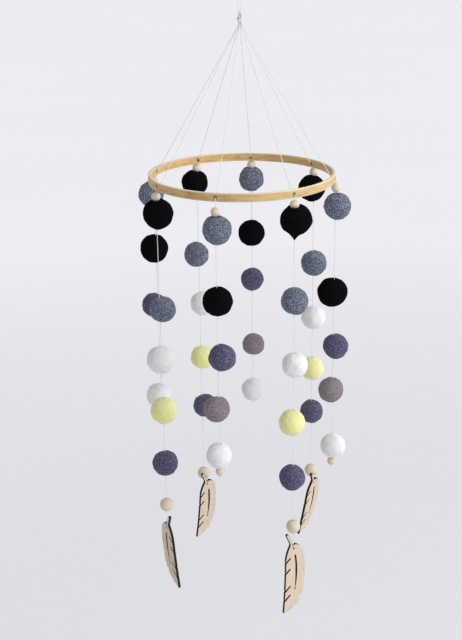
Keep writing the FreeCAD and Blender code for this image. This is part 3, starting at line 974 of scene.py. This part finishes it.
def make_tie(n, cotton):
    """The thread from the bead, knotted behind or above the hole and looped through it."""
    pivot = joint_place(f"feather_{n}_swing")
    place = feather_place(n)
    back = bool(FEATHERS[n]["forward"])
    knot = place @ (Vector((0, TIE_HALF, TIE_TOP / 2)) if back else Vector((0, 0, TIE_TOP + 0.4 * MM)))
    bm = bmesh.new()
    corners = [(-TIE_HALF, TIE_TOP), (-TIE_HALF, 0), (TIE_HALF, 0), (TIE_HALF, TIE_TOP)]
    ring = [place @ Vector((0, y, z)) for y, z in corners]
    ring = [(ring[0] + ring[3]) / 2, *ring, (ring[0] + ring[3]) / 2]
    twisted_tube(bm, walk(spline_points(ring), THREAD_STEP)[:-1], THREAD_D / 2, closed=True)
    strand = [pivot + UP * 0.2 * MM, pivot - UP * TIE_DROP, knot]
    twisted_tube(bm, walk(spline_points(strand), THREAD_STEP), THREAD_D / 2)
    add_small_knot(bm, knot, TIE_KNOT_SIZE, n)
    tie = add_object(f"feather_tie_{n}", bm, cotton)
    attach(tie, f"feather_{n}")
    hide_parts(f"string_{n}_feather")


# ---- studio ----
FLOOR_R = 40
FLOOR_Z = -1.9
FLOOR_GLOW_NEAR = 0.085     # the floor's own light, which evens out the background
FLOOR_GLOW_FAR = 0.31
GLOW_FROM = 1.5             # distances between which it grows
GLOW_TO = 6.0
SKY_LEFT = 0.40             # the sky's light from either side
SKY_RIGHT = 0.95
SKY_SEEN = 0.86             # and how bright it looks itself
KEY_PLACE = (1.7, -0.9, 0.6)
KEY_AIM = (0, 0, -0.35)
KEY_SIZE = 1.1
KEY_POWER = 27


def area_light(name, place, aim, size, power, colour):
    data = bpy.data.lights.new(name, "AREA")
    data.shape = "SQUARE"
    data.size = size
    data.energy = power
    data.color = colour
    light = bpy.data.objects.new(name, data)
    bpy.context.collection.objects.link(light)
    light.location = place
    light.rotation_euler = (Vector(aim) - Vector(place)).to_track_quat("-Z", "Y").to_euler()


def make_floor():
    """A wide pale floor well below the object."""
    bm = bmesh.new()
    bmesh.ops.create_circle(bm, cap_ends=True, segments=96, radius=FLOOR_R)
    bmesh.ops.translate(bm, verts=bm.verts, vec=UP * FLOOR_Z)
    n = Nodes("floor")
    tone = n.ramp(n.noise(0.6, 1, 0.5), [(0.3, (0.80, 0.80, 0.82)), (0.7, (0.82, 0.82, 0.84))])
    away = n.add("ShaderNodeVectorMath", operation="LENGTH")
    n.link(n.place, away.inputs[0])
    n.link(n.grey(away.outputs["Value"], GLOW_FROM, GLOW_TO, FLOOR_GLOW_NEAR, FLOOR_GLOW_FAR),
           n.shader.inputs["Emission Strength"])
    n.shader.inputs["Emission Color"].default_value = (0.97, 0.97, 1.0, 1)
    floor = add_object("floor", bm, n.finish(tone, n.bump(n.noise(40), 0.2 * MM, 0.1), Roughness=1.0))


def make_sky():
    """A sky that lights more from the right, and looks even."""
    world = bpy.data.worlds.new("sky")
    bpy.context.scene.world = world
    world.use_nodes = True
    tree = world.node_tree
    place = tree.nodes.new("ShaderNodeTexCoord")
    parts = tree.nodes.new("ShaderNodeSeparateXYZ")
    tree.links.new(place.outputs["Generated"], parts.inputs[0])
    fall = tree.nodes.new("ShaderNodeMapRange")
    fall.inputs["From Min"].default_value = -1.0
    fall.inputs["From Max"].default_value = 1.0
    fall.inputs["To Min"].default_value = SKY_LEFT
    fall.inputs["To Max"].default_value = SKY_RIGHT
    tree.links.new(parts.outputs["X"], fall.inputs["Value"])
    sky = tree.nodes["Background"]
    sky.inputs["Color"].default_value = (0.965, 0.97, 1.0, 1)
    seen = tree.nodes.new("ShaderNodeLightPath")
    shown = tree.nodes.new("ShaderNodeMix")
    tree.links.new(seen.outputs["Is Camera Ray"], shown.inputs["Factor"])
    tree.links.new(fall.outputs["Result"], shown.inputs["A"])
    shown.inputs["B"].default_value = SKY_SEEN
    tree.links.new(shown.outputs["Result"], sky.inputs["Strength"])


make_camera()
cotton = cotton_material()
scorched = scorched_material()
bead_wood = bead_material()
make_cords(cotton)
make_hoop(bamboo_material())
make_beads()
make_balls()
make_end_knots(cotton)
make_top_knot(cotton)
feather_wood = feather_material()
for number in FEATHERS:
    make_feather(number, [feather_wood, scorched])
    make_tie(number, cotton)
make_floor()
area_light("key", KEY_PLACE, KEY_AIM, KEY_SIZE, KEY_POWER, (1.0, 0.99, 0.97))
make_sky()
bpy.context.scene.view_settings.view_transform = "Standard"
